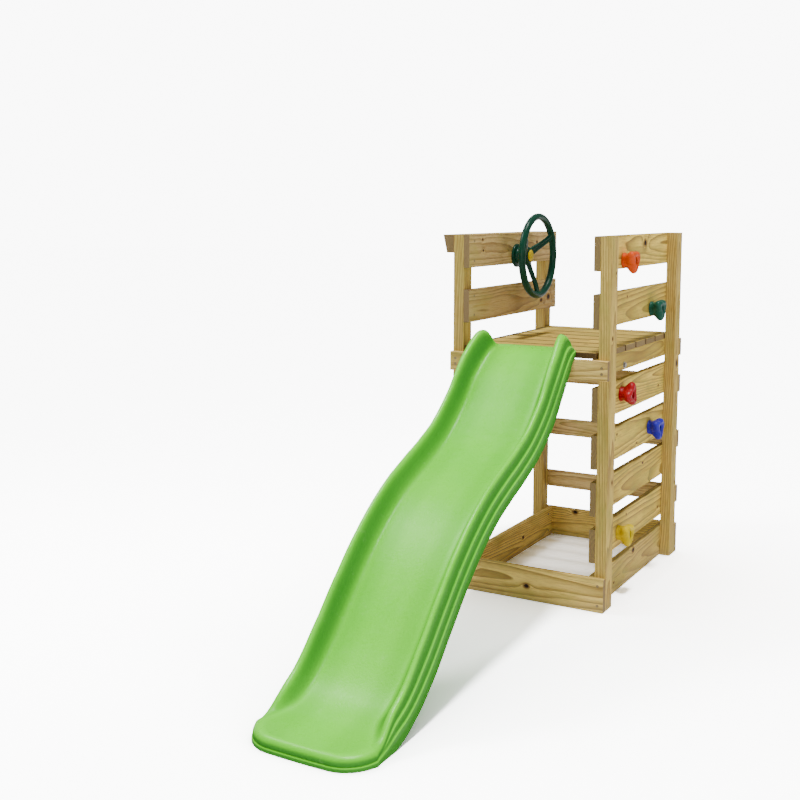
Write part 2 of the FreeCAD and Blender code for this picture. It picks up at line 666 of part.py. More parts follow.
def export():
    """Checks every object and writes one file for each sub-part."""
    doc.recompute()
    for obj in doc.Objects:
        if {"Invalid", "Error"} & set(obj.State):
            raise RuntimeError("%s failed: %s" % (obj.Label, obj.State))
    os.makedirs("parts", exist_ok=True)
    for label, obj in sorted(finished.items()):
        obj.Label = label
        shape = obj.Shape
        if shape.isNull() or not shape.isValid():
            raise RuntimeError("%s has no valid shape" % label)
        shape.exportStep(os.path.join("parts", label + ".step"))
        box = shape.BoundBox
        print("%-26s solids %3d  volume %9.1f cm3  box %7.1f %7.1f %7.1f  %7.1f %7.1f %7.1f" % (
            label, len(shape.Solids), shape.Volume / 1000,
            box.XMin, box.YMin, box.ZMin, box.XMax, box.YMax, box.ZMax))


make_posts()
make_side_boards()
make_cross_pieces()
make_deck()
make_swing_beam()
side_screws()
cross_screws()
deck_screws()
beam_screws()
make_holds()
make_slide()
make_wheel_base()
make_steering_wheel()
make_wheel_fixings()
joist_bolt_y = front_face + 265
joist_bolt_z = value("joist_base") + 17
bolt_through("joist", (right_inner, joist_bolt_y, joist_bolt_z), (-1, 0, 0), board_thick)
bolt_through("joist", (left_inner, joist_bolt_y, joist_bolt_z), (1, 0, 0), board_thick)
for group_label, group_solids in fixing_groups.items():
    add_solids(group_label, group_solids)
drill_timbers()
export()
print("sub-parts", len(finished))
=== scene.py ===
import json
import math
import random

import bmesh
import bpy
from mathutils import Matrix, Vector


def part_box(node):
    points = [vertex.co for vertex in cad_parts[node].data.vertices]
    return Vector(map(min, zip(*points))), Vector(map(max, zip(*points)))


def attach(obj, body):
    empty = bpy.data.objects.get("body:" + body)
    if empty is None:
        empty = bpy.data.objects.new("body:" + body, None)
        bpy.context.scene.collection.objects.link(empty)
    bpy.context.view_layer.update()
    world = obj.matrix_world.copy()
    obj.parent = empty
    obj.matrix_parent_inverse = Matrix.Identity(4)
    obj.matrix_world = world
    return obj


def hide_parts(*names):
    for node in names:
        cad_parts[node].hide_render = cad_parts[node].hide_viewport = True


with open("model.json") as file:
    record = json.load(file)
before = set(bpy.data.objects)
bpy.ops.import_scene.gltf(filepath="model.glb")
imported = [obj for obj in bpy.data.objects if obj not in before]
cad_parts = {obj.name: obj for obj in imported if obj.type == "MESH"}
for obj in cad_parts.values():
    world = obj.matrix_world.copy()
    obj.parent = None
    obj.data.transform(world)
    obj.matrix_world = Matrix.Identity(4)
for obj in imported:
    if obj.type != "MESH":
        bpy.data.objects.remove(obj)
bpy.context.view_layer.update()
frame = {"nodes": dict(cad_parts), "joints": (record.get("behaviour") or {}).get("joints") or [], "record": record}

# ------------------------------------------------------------------ writing node trees
def new_material(name):
    """An empty principled material: (material, node tree, shader)."""
    material = bpy.data.materials.new(name)
    material.use_nodes = True
    tree = material.node_tree
    tree.nodes.clear()
    output = tree.nodes.new("ShaderNodeOutputMaterial")
    shader = tree.nodes.new("ShaderNodeBsdfPrincipled")
    tree.links.new(shader.outputs[0], output.inputs["Surface"])
    return material, tree, shader


def feed(tree, socket, source):
    """Sets a socket from another socket, a colour or a number."""
    if isinstance(source, bpy.types.NodeSocket):
        tree.links.new(source, socket)
    elif isinstance(source, (tuple, list)) and len(socket.default_value) == 4:
        socket.default_value = (*source[:3], 1.0)
    else:
        socket.default_value = source


def calc(tree, operation, *values, clamp=False):
    """One maths node; values are numbers or sockets."""
    node = tree.nodes.new("ShaderNodeMath")
    node.operation = operation
    node.use_clamp = clamp
    for socket, source in zip(node.inputs, values):
        feed(tree, socket, source)
    return node.outputs[0]


def remap(tree, source, low, high, out_low=0.0, out_high=1.0, smooth=True):
    """Maps low..high to out_low..out_high, clamped."""
    node = tree.nodes.new("ShaderNodeMapRange")
    node.interpolation_type = "SMOOTHSTEP" if smooth else "LINEAR"
    for name, number in (("Value", source), ("From Min", low), ("From Max", high),
                         ("To Min", out_low), ("To Max", out_high)):
        feed(tree, node.inputs[name], number)
    return node.outputs[0]


def mix(tree, factor, first, second, mode="MIX"):
    node = tree.nodes.new("ShaderNodeMix")
    node.data_type = "RGBA"
    node.blend_type = mode
    feed(tree, node.inputs[0], factor)
    feed(tree, node.inputs[6], first)
    feed(tree, node.inputs[7], second)
    return node.outputs[2]


def join(tree, x, y, z):
    node = tree.nodes.new("ShaderNodeCombineXYZ")
    for socket, source in zip(node.inputs, (x, y, z)):
        feed(tree, socket, source)
    return node.outputs[0]


def noise(tree, vector, scale, detail=3.0, roughness=0.55):
    node = tree.nodes.new("ShaderNodeTexNoise")
    feed(tree, node.inputs["Vector"], vector)
    node.inputs["Scale"].default_value = scale
    node.inputs["Detail"].default_value = detail
    node.inputs["Roughness"].default_value = roughness
    return node.outputs["Fac"]


def bump(tree, shader, height, strength, distance):
    """Roughens the shader's normal by a height socket; distance is in metres."""
    node = tree.nodes.new("ShaderNodeBump")
    node.inputs["Strength"].default_value = strength
    node.inputs["Distance"].default_value = distance
    feed(tree, node.inputs["Height"], height)
    tree.links.new(node.outputs["Normal"], shader.inputs["Normal"])


def place_of(tree):
    """Texture place of the surface, in the piece's own space."""
    return tree.nodes.new("ShaderNodeTexCoord").outputs["Object"]


def facing_of(tree):
    """The surface's normal in the piece's own space, as three sockets."""
    return split(tree, tree.nodes.new("ShaderNodeTexCoord").outputs["Normal"])


def split(tree, vector):
    node = tree.nodes.new("ShaderNodeSeparateXYZ")
    feed(tree, node.inputs[0], vector)
    return list(node.outputs)


# ------------------------------------------------------------------ timber
EARLY_WOOD = (0.62, 0.445, 0.085)
LATE_WOOD = (0.205, 0.105, 0.016)
GREEN_TINGE = (0.36, 0.32, 0.06)
BROWN_TINGE = (0.38, 0.21, 0.038)
END_GRAIN = (0.19, 0.125, 0.06)
# painted shade for the narrow sides, where the gaps between boards lie
NARROW_SIDE_SHADE = (0.085, 0.05, 0.018)
# painted shade for the tops of the deck slats
SLAT_SHADE_COLOUR = (0.035, 0.022, 0.010)
# the colour that each piece darkens to near the ground
GROUND_DARK = (0.22, 0.17, 0.09)
KNOT = (0.19, 0.088, 0.022)
KNOT_CORE = (0.022, 0.010, 0.004)


def timber_material(node, seed, knots=(), tilt=None, light_tone=1.0, green=0.5, side_shade=0.0, blue=1.0):
    """Sawn pine for one board. The rings are those of a log that lies a little askew to the board, so
    its faces show long arches and its ends show arcs. knots: (along, across, radius) from the middle.
    light_tone brightens or darkens the wood as painted light and shade, blue makes it greyer as painted
    shade, green adds the tinge of the preservative, and side_shade paints shade on the narrow sides."""
    dice = random.Random(seed)
    low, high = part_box(node)
    size = high - low
    centre = (high + low) / 2
    order = sorted(range(3), key=lambda axis: size[axis])
    thin, wide, long = order
    material, tree, shader = new_material("pine_" + node)
    place = place_of(tree)
    axes = split(tree, place)
    facing = facing_of(tree)
    along = calc(tree, "SUBTRACT", axes[long], centre[long])
    across = calc(tree, "SUBTRACT", axes[wide], centre[wide])
    depth = calc(tree, "SUBTRACT", axes[thin], centre[thin])

    # where the heart of the log runs
    heart_depth = dice.choice((-1, 1)) * dice.uniform(0.04, 0.085)
    heart_across = dice.uniform(-0.6, 0.6) * size[wide] / 2
    lean = dice.choice((-1, 1)) * dice.uniform(0.015, 0.045) if tilt is None else tilt
    sway = dice.uniform(-0.02, 0.02)
    offset = join(tree, dice.uniform(0, 50), dice.uniform(0, 50), dice.uniform(0, 50))
    shift = tree.nodes.new("ShaderNodeVectorMath")
    shift.operation = "ADD"
    local = join(tree, along, across, depth)
    feed(tree, shift.inputs[0], local)
    feed(tree, shift.inputs[1], offset)
    moved = split(tree, shift.outputs[0])
    stretched = join(tree, calc(tree, "MULTIPLY", moved[0], 0.16), moved[1], moved[2])
    wander = calc(tree, "SUBTRACT", noise(tree, stretched, 9.0, 2.0), 0.5)
    ring_across = calc(tree, "MULTIPLY_ADD", along, sway, calc(tree, "SUBTRACT", across, heart_across))
    ring_depth = calc(tree, "MULTIPLY_ADD", along, lean, calc(tree, "SUBTRACT", depth, heart_depth))
    radius = calc(tree, "SQRT", calc(tree, "ADD", calc(tree, "MULTIPLY", ring_across, ring_across),
                                     calc(tree, "MULTIPLY", ring_depth, ring_depth)))
    radius = calc(tree, "MULTIPLY_ADD", wander, 0.034, radius)

    # the grain flows round each knot
    knot_mask, knot_heart = None, None
    for knot_along, knot_across, knot_size in knots:
        x = calc(tree, "DIVIDE", calc(tree, "SUBTRACT", along, knot_along), knot_size * 1.35)
        y = calc(tree, "DIVIDE", calc(tree, "SUBTRACT", across, knot_across), knot_size)
        apart = calc(tree, "ADD", calc(tree, "MULTIPLY", x, x), calc(tree, "MULTIPLY", y, y))
        push = calc(tree, "POWER", 0.72, apart)
        radius = calc(tree, "MULTIPLY_ADD", push, knot_size * 0.9, radius)
        mask = remap(tree, apart, 1.5, 0.6)
        knot_mask = mask if knot_mask is None else calc(tree, "MAXIMUM", knot_mask, mask)
        heart = remap(tree, apart, 0.6, 0.16)
        knot_heart = heart if knot_heart is None else calc(tree, "MAXIMUM", knot_heart, heart)

    # slow-grown boards with wide, dark rings
    bold = node.startswith(("climb", "sandpit_board_front"))
    spacing = dice.uniform(0.0065, 0.0095) * (1.4 if bold else 1.0)
    ring = calc(tree, "FRACT", calc(tree, "DIVIDE", radius, spacing))
    late = calc(tree, "POWER", ring, 1.7 if bold else 2.2)
    late = calc(tree, "MULTIPLY", late, remap(tree, ring, 1.0, 0.93))
    fibre_place = join(tree, calc(tree, "MULTIPLY", moved[0], 0.03), moved[1], moved[2])
    fibre = noise(tree, fibre_place, 900.0, 2.0, 0.6)
    streak = noise(tree, fibre_place, 150.0, 3.0, 0.6)
    blotch = noise(tree, join(tree, calc(tree, "MULTIPLY", moved[0], 0.45), moved[1], moved[2]), 11.0, 3.0)

    # painted light and shade: the board's brightness, and its greyness where it lies in shade, go into its colour
    tint = (light_tone, light_tone, light_tone * blue)
    contrast = light_tone ** (-1.5 if bold else -0.6)
    early_wood = tuple(t * c for t, c in zip(tint, EARLY_WOOD))
    late_wood = tuple(contrast * t * c for t, c in zip(tint, LATE_WOOD))
    colour = mix(tree, calc(tree, "MULTIPLY", late, 0.95), early_wood, late_wood)
    colour = mix(tree, remap(tree, blotch, 0.42, 0.72, 0.0, green), colour, GREEN_TINGE)
    colour = mix(tree, remap(tree, streak, 0.48, 0.74, 0.0, 0.6), colour, BROWN_TINGE)
    colour = mix(tree, remap(tree, fibre, 0.42, 0.72, 0.0, 0.42), colour, LATE_WOOD)
    checks = remap(tree, noise(tree, join(tree, calc(tree, "MULTIPLY", moved[0], 0.02), moved[1], moved[2]),
                               210.0, 1.0), 0.735, 0.76)
    colour = mix(tree, calc(tree, "MULTIPLY", checks, 0.55), colour, KNOT)
    if knot_mask is not None:
        rough_edge = calc(tree, "MULTIPLY", knot_mask, remap(tree, fibre, 0.2, 0.8, 0.72, 1.0))
        colour = mix(tree, calc(tree, "MULTIPLY", rough_edge, 0.9), colour, KNOT)
        colour = mix(tree, knot_heart, colour, KNOT_CORE)
    end = calc(tree, "ABSOLUTE", facing[long])
    colour = mix(tree, remap(tree, end, 0.6, 0.85, 0.0, 0.88), colour, END_GRAIN)
    # painted shade: the narrow sides, in the gaps between boards, are darkened
    edge = calc(tree, "ABSOLUTE", facing[wide])
    colour = mix(tree, remap(tree, edge, 0.15, 0.6, 0.0, side_shade), colour, NARROW_SIDE_SHADE)
    if node.startswith("deck_slat"):
        # painted shade on the top along the slat's edges, where the gaps lie, and a painted shadow of the left
        # boards at its left end
        half_wide, half_long = size[wide] / 2, size[long] / 2
        edges = remap(tree, calc(tree, "ABSOLUTE", across), half_wide - 0.005, half_wide - 0.001)
        left_end_shadow = remap(tree, calc(tree, "MULTIPLY", along, -1.0), half_long - 0.024, half_long - 0.016)
        on_top = remap(tree, facing[2], 0.5, 0.8, 0.0, 0.88)
        slat_shade = calc(tree, "MULTIPLY", calc(tree, "MAXIMUM", edges, left_end_shadow), on_top)
        colour = mix(tree, slat_shade, colour, SLAT_SHADE_COLOUR)
    # darker and browner towards the bottom, within about 7 cm of the ground
    ground_dark = remap(tree, calc(tree, "MULTIPLY_ADD", blotch, 0.05, axes[2]), 0.075, 0.02, 0.0, 0.35)
    colour = mix(tree, ground_dark, colour, GROUND_DARK)
    tree.links.new(colour, shader.inputs["Base Color"])
    shader.inputs["Specular IOR Level"].default_value = 0.18
    feed(tree, shader.inputs["Roughness"], remap(tree, late, 0.0, 1.0, 0.78, 0.6))
    height = calc(tree, "ADD", calc(tree, "MULTIPLY", late, 0.5), calc(tree, "MULTIPLY", fibre, 0.6))
    height = calc(tree, "SUBTRACT", height, calc(tree, "MULTIPLY", checks, 1.2))
    bump(tree, shader, height, 0.35, 0.0006)
    return material


# ------------------------------------------------------------------ plastics and steel
def plastic_material(name, colour, shade, roughness, grain, grain_depth, gloss):
    """Moulded plastic: slow colour drift, a fine moulded skin and faint rub marks."""
    material, tree, shader = new_material(name)
    place = place_of(tree)
    drift = noise(tree, place, 7.0, 3.0)
    skin = noise(tree, place, grain, 3.0, 0.6)
    marks = noise(tree, place, 42.0, 5.0, 0.7)
    base = mix(tree, remap(tree, drift, 0.35, 0.7), colour, shade)
    base = mix(tree, remap(tree, marks, 0.60, 0.76, 0.0, 0.10), base, tuple(c * 0.9 + 0.03 for c in colour))
    tree.links.new(base, shader.inputs["Base Color"])
    feed(tree, shader.inputs["Roughness"], remap(tree, marks, 0.3, 0.75, roughness - 0.06, roughness + 0.1))
    shader.inputs["Specular IOR Level"].default_value = gloss
    bump(tree, shader, skin, 0.25, grain_depth)
    return material


def steel_material(name, colour, roughness):
    """Zinc plate: cloudy spangle with darker patches."""
    material, tree, shader = new_material(name)
    place = place_of(tree)
    cloud = noise(tree, place, 260.0, 4.0, 0.6)
    patch = noise(tree, place, 60.0, 3.0)
    base = mix(tree, remap(tree, patch, 0.4, 0.7), colour, tuple(c * 0.7 for c in colour))
    tree.links.new(base, shader.inputs["Base Color"])
    shader.inputs["Metallic"].default_value = 0.75
    feed(tree, shader.inputs["Roughness"], remap(tree, cloud, 0.3, 0.7, roughness - 0.08, roughness + 0.12))
    bump(tree, shader, cloud, 0.2, 0.0003)
    return material


def dress(name, material):
    """Gives a CAD node its material."""
    mesh = frame["nodes"][name].data
    mesh.materials.clear()
    mesh.materials.append(material)


nodes = [part["node"] for part in frame["record"]["subparts"]]
slots = {part["node"]: part["material_slot"] for part in frame["record"]["subparts"]}

# knots that stand out, measured from the middle of each board: (along, across, radius)
KNOTS = {
    "climb_board_1": ((0.070, 0.026, 0.016), (-0.25, -0.03, 0.006)),
    "climb_board_2": ((-0.12, 0.035, 0.005),),
    "climb_board_3": ((0.27, -0.02, 0.006),),
    "climb_board_4": ((-0.2, 0.03, 0.006), (0.02, -0.04, 0.005)),
    "climb_board_5": ((0.1, 0.035, 0.007),),
    "climb_board_6": ((0.3, -0.02, 0.006), (-0.08, 0.04, 0.005)),
    "sandpit_board_right": ((0.01, 0.046, 0.013), (-0.2, -0.02, 0.006)),
    "sandpit_board_front": ((0.012, -0.008, 0.011), (-0.21, 0.032, 0.010)),
    "sandpit_board_back": ((-0.13, 0.048, 0.011),),
    "sandpit_board_left": ((0.1, 0.0, 0.008),),
    "rail_left_top": ((-0.295, 0.040, 0.006), (-0.29, 0.0, 0.006), (0.2, 0.02, 0.007)),
    "rail_left_lower": ((0.325, -0.012, 0.015), (0.25, -0.022, 0.010)),
    "post_back_right": ((0.13, 0.0, 0.012), (-0.35, 0.012, 0.007)),
    "post_front_right": ((0.3, -0.01, 0.007), (-0.2, 0.012, 0.006), (0.52, 0.015, 0.005)),
    "post_front_left": ((0.35, 0.0, 0.008), (-0.1, 0.01, 0.006)),
    "post_back_left": ((0.1, 0.01, 0.008),),
    "front_fascia": ((-0.2, 0.01, 0.006),),
    "deck_slat_2": ((0.12, 0.02, 0.008),),
    "deck_slat_4": ((-0.1, -0.02, 0.008),),
    "deck_slat_5": ((0.05, 0.03, 0.006),),
    "ladder_rung_2": ((0.15, 0.0, 0.007),),
}
# Looks by board, or by the first word of the node's name: how much the log leans against the board,
# how grey the wood is (painted shade), how dark its narrow sides are (painted shade), and how bright it is
# (painted light and shade).
LEANS = {"climb_board_2": 0.05, "climb_board_3": 0.055, "climb_board_5": -0.05, "rail_left_lower": 0.012,
         "rail_left_top": -0.014}
SHADE_GREYS = {"post": 1.35, "rail": 2.2, "ladder": 2.2, "front": 1.6, "swing": 1.5, "sandpit": 1.4}
SIDE_SHADES = {"climb": 0.4, "deck": 1.0, "sandpit": 0.1, "rail": 0.25}
LIGHT_TONES = {"climb": 1.27, "rail": 0.88, "post": 0.95, "deck": 1.05, "ladder": 1.4, "front": 1.5, "swing": 0.95}
BOARD_LIGHT_TONES = {"climb_board_1": 1.56, "climb_board_3": 1.36, "climb_board_4": 1.48, "rail_left_top": 1.12,
               "post_front_right": 1.08, "sandpit_board_front": 1.56, "sandpit_board_right": 0.92,
               "sandpit_board_left": 1.4, "sandpit_board_back": 1.4}

for number, name in enumerate(nodes):
    if slots[name] == "pine":
        family = name.split("_")[0]
        # each board's brightness as painted light and shade, with a small change from board to board
        light_tone = BOARD_LIGHT_TONES.get(name, LIGHT_TONES.get(family, 1.0)) * (1.0 + 0.07 * math.sin(number * 2.3))
        green = 0.35 + 0.3 * abs(math.sin(number * 1.7))
        dress(name, timber_material(name, 100 + number, KNOTS.get(name, ()), LEANS.get(name), light_tone, green,
                                    SIDE_SHADES.get(family, 0.0), SHADE_GREYS.get(family, 1.0)))


def lime_material():
    """Satin polyethylene, finely pebbled, with painted light and shade: brighter where it faces the sky, deeper on
    the steep sides and in its creases.
    """
    material, tree, shader = new_material("lime_plastic")
    place = place_of(tree)
    upward = facing_of(tree)[2]
    drift = noise(tree, place, 4.0, 3.0)
    pebble = calc(tree, "ADD", noise(tree, place, 420.0, 2.0, 0.5), noise(tree, place, 130.0, 2.0, 0.5))
    rubs = noise(tree, place, 30.0, 5.0, 0.7)
    crease_shade = tree.nodes.new("ShaderNodeAttribute")
    crease_shade.attribute_name = "crease_shade"
    cloudy = remap(tree, drift, 0.35, 0.7)
    # painted light and shade: a bright colour for faces turned up to the overhead light, a deeper one for the
    # steep sides
    top = mix(tree, cloudy, (0.140, 0.72, 0.012), (0.165, 0.76, 0.018))
    side = mix(tree, cloudy, (0.058, 0.285, 0.026), (0.066, 0.31, 0.031))
    base = mix(tree, remap(tree, upward, 0.12, 0.62), side, top)
    # painted shade: darker in the rail's creases, in the foot's groove and on the bed beside the rails
    base = mix(tree, calc(tree, "MULTIPLY", crease_shade.outputs["Fac"], 0.75), base, (0.034, 0.19, 0.022))
    base = mix(tree, remap(tree, rubs, 0.58, 0.78, 0.0, 0.12), base, (0.55, 0.86, 0.35))
    tree.links.new(base, shader.inputs["Base Color"])
    open_share = calc(tree, "SUBTRACT", 1.0, calc(tree, "MULTIPLY", crease_shade.outputs["Fac"], 1.8), clamp=True)
    gloss = calc(tree, "MULTIPLY", remap(tree, upward, 0.1, 0.6, 0.12, 0.36), open_share)
    feed(tree, shader.inputs["Specular IOR Level"], gloss)
    feed(tree, shader.inputs["Roughness"], remap(tree, rubs, 0.3, 0.75, 0.25, 0.36))
    bump(tree, shader, pebble, 0.5, 0.0010)
    return material


steel = steel_material("zinc_plate", (0.42, 0.41, 0.38), 0.45)
screw_steel = steel_material("yellow_zinc", (0.30, 0.225, 0.11), 0.5)
# Moulded plastics: colour, second colour that it drifts to, roughness, grain, grain depth, gloss.
MOULDED = {
    "orange_plastic": ((0.64, 0.070, 0.0005), (0.56, 0.054, 0.0005), 0.42, 1500.0, 0.0004, 0.2),
    "green_plastic": ((0.006, 0.080, 0.050), (0.004, 0.062, 0.038), 0.36, 1500.0, 0.0004, 0.2),
    "red_plastic": ((0.33, 0.001, 0.006), (0.27, 0.001, 0.005), 0.38, 1500.0, 0.0004, 0.2),
    "blue_plastic": ((0.020, 0.011, 0.36), (0.016, 0.008, 0.30), 0.38, 1500.0, 0.0004, 0.2),
    "yellow_plastic": ((0.60, 0.44, 0.0002), (0.52, 0.37, 0.0002), 0.42, 1500.0, 0.0004, 0.12),
    "wheel_green": ((0.002, 0.042, 0.022), (0.002, 0.034, 0.018), 0.3, 900.0, 0.0002, 0.15),
}
PLASTICS = {"lime_plastic": lime_material()}
PLASTICS.update((name, plastic_material(name, *look)) for name, look in MOULDED.items())
PLASTICS["zinc_steel"] = steel
for name in nodes:
    if slots[name] in PLASTICS:
        dress(name, screw_steel if name.startswith("screws") else PLASTICS[slots[name]])

# ------------------------------------------------------------------ mesh tools
def solid_from(name, points, faces, material, body="tower", smooth_angle=50.0):
    """A mesh object in the row frame, shaded smooth except across sharp edges."""
    mesh = bpy.data.meshes.new(name)
    mesh.from_pydata(points, [], faces)
    mesh.validate()
    shape = bmesh.new()
    shape.from_mesh(mesh)
    bmesh.ops.remove_doubles(shape, verts=shape.verts, dist=1e-6)
    bmesh.ops.recalc_face_normals(shape, faces=shape.faces)
    for face in shape.faces:
        face.smooth = True
    for edge in shape.edges:
        if len(edge.link_faces) == 2 and edge.calc_face_angle(0.0) > math.radians(smooth_angle):
            edge.smooth = False
    shape.to_mesh(mesh)
    shape.free()
    mesh.materials.append(material)
    piece = bpy.data.objects.new(name, mesh)
    bpy.context.scene.collection.objects.link(piece)
    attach(piece, body)
    return piece


def bake(piece):
    """Applies the piece's modifiers to its mesh."""
    bpy.context.view_layer.update()
    graph = bpy.context.evaluated_depsgraph_get()
    mesh = bpy.data.meshes.new_from_object(piece.evaluated_get(graph))
    piece.modifiers.clear()
    piece.data = mesh
    for face in mesh.polygons:
        face.use_smooth = True


def remesh(piece, voxel, rounds, factor=0.5):
    """Merges overlapping shells into one skin and softens where they meet, as a moulding does."""
    merge = piece.modifiers.new("merge", "REMESH")
    merge.mode = "VOXEL"
    merge.voxel_size = voxel
    merge.use_smooth_shade = True
    soften = piece.modifiers.new("soften", "SMOOTH")
    soften.factor = factor
    soften.iterations = rounds
    bake(piece)


def tube(points, faces, rings, closed=False):
    """Adds quads that join a list of rings (each a list of points); caps both ends unless closed."""
    first = len(points)
    count = len(rings[0])
    for ring in rings:
        points.extend(ring)
    steps = len(rings) if closed else len(rings) - 1
    for row in range(steps):
        here = first + row * count
        there = first + (row + 1) % len(rings) * count
        for column in range(count):
            after = (column + 1) % count
            faces.append((here + column, here + after, there + after, there + column))
    if not closed:
        faces.append(tuple(first + column for column in reversed(range(count))))
        last = first + (len(rings) - 1) * count
        faces.append(tuple(last + column for column in range(count)))


def turned(points, faces, centre, profile, count=64):
    """Adds a solid turned about an axis along X through centre; profile is (x offset, radius) pairs."""
    rings = []
    for offset, radius in profile:
        rings.append([Vector((centre.x + offset, centre.y + radius * math.cos(2 * math.pi * k / count),
                              centre.z + radius * math.sin(2 * math.pi * k / count))) for k in range(count)])
    tube(points, faces, rings)


def blend_step(low, high, x):
    """0 up to low, 1 from high on, and a smooth step between."""
    share = min(max((x - low) / (high - low), 0.0), 1.0)
    return share * share * (3 - 2 * share)


def between(table, x):
    """Straight-line reading of a table of (x, value) pairs."""
    if x <= table[0][0]:
        return table[0][1]
    for (x0, v0), (x1, v1) in zip(table, table[1:]):
        if x <= x1:
            return v0 + (v1 - v0) * (x - x0) / (x1 - x0)
    return table[-1][1]


# ------------------------------------------------------------------ slide
# Line of the bed in millimetres: distance in front of the posts' front faces, and height.
BED_LINE = (
    (-38, 903), (30, 900), (80, 880), (160, 815), (260, 711), (360, 634), (460, 583), (560, 542),
    (660, 496), (760, 433), (860, 352), (960, 256), (1060, 158), (1160, 83), (1260, 49), (1340, 40),
    (1417, 37),
)
# Across the rail, from the bed's edge outward: distance, height over the bed (62 at the crest).
RAIL = ((0, 0), (7, 1.2), (14, 4.5), (21, 11), (27, 20), (32, 31), (36, 43), (40, 53), (44.5, 59.5),
        (49.5, 62), (54, 60.5), (57.5, 56), (59.6, 49), (60.6, 40), (61.2, 26), (62.2, 21.5),
        (65.3, 19.8), (66.3, 17), (67.2, 6), (67.8, -4), (68.6, -6.8), (71.2, -8.2), (72, -11),
        (72.4, -24), (72.5, -40))
# The same steps at the foot: distance, height over the bed.
FOOT = ((0, 0), (2, -0.1), (4, -0.3), (6, -0.6), (8, -1.0), (10, -1.6), (12, -2.4), (14, -3.4), (16, -4.7),
        (18, -6.4), (19.8, -8.4), (21.2, -10.6), (22, -13), (22.3, -15.2), (22.3, -17), (22.1, -18.2),
        (20.8, -19), (20.6, -19.8), (20.8, -20.6), (22.6, -21.3), (24, -22.3), (24.7, -23.6), (25, -25.2),
        (25, -28), (24.8, -31))
# Where the rail turns into the foot, in millimetres ahead.
FOOT_BLEND = (1215, 1352)
# How high the crest stands along the slide, as a share of its full height.
CREST_SCALE = ((-4, 0.0), (0, 0.14), (14, 0.50), (34, 0.86), (60, 1.05), (84, 1.12), (120, 1.10),
               (200, 1.0), (1080, 1.0), (1155, 0.86), (1202, 0.74), (1262, 0.52), (1307, 0.22),
               (1335, 0.05), (1350, 0.0))


def bed_height(ahead):
    """Height and slope of the bed on a smooth curve through BED_LINE."""
    spans = list(zip(BED_LINE, BED_LINE[1:]))
    number = next((n for n, (_, end) in enumerate(spans) if ahead <= end[0]), len(spans) - 1)

    def slope(index):
        before, after = BED_LINE[max(index - 1, 0)], BED_LINE[min(index + 1, len(BED_LINE) - 1)]
        return (after[1] - before[1]) / (after[0] - before[0])

    (x0, z0), (x1, z1) = spans[number]
    width, part = x1 - x0, (ahead - x0) / (x1 - x0)
    m0, m1 = slope(number) * width, slope(number + 1) * width
    height = ((2 * part**3 - 3 * part**2 + 1) * z0 + (part**3 - 2 * part**2 + part) * m0
              + (3 * part**2 - 2 * part**3) * z1 + (part**3 - part**2) * m1)
    steep = ((6 * part**2 - 6 * part) * (z0 - z1) + (3 * part**2 - 4 * part + 1) * m0
             + (3 * part**2 - 2 * part) * m1) / width
    return height, steep


# How deep in shade each step across the rail lies, from 0 to 1: deep inside the rail, in the ledges'
# corners and in the foot's groove, and open on the crest and the ledges.
CREASES = (0.10, 0.35, 0.65, 0.95, 1.0, 0.9, 0.7, 0.4, 0.12, 0.0, 0.0, 0.1, 0.3, 0.6, 0.85, 0.35,
           0.0, 0.1, 0.6, 0.85, 0.3, 0.0, 0.1, 0.6, 0.8)
FOOT_CREASES = (0.0, 0.0, 0.0, 0.0, 0.0, 0.0, 0.05, 0.12, 0.25, 0.4, 0.55, 0.65, 0.7, 0.8, 0.9, 1.0,
                1.0, 1.0, 0.9, 0.5, 0.4, 0.5, 0.65, 0.8, 0.95)


def mark_creases(slide, points, border, rings):
    """Writes the painted shade of each step of the rail, and a little on the bed beside the rails, into the mesh,
    for the plastic to read.
    """
    layer = slide.data.attributes.new("crease_shade", "FLOAT", "POINT")
    shades = {}
    for (_, ahead, *_), ring in zip(border, rings):
        foot = blend_step(*FOOT_BLEND, ahead)
        rail = blend_step(-20, 40, ahead)
        for index, high, low in zip(ring, CREASES, FOOT_CREASES):
            spot = tuple(round(c, 5) for c in points[index])
            shades[spot] = (high + (low - high) * foot) * rail
    middle = (points[rings[0][0]].x + points[rings[-1][0]].x) / 2
    edge = abs(points[rings[0][0]].x - middle) * 1.3
    for vertex in slide.data.vertices:
        # painted shade on the bed, growing towards the rails
        bed_shade = 0.24 * blend_step(0.4 * edge, edge, abs(vertex.co.x - middle))
        layer.data[vertex.index].value = shades.get(tuple(round(c, 5) for c in vertex.co), bed_shade)


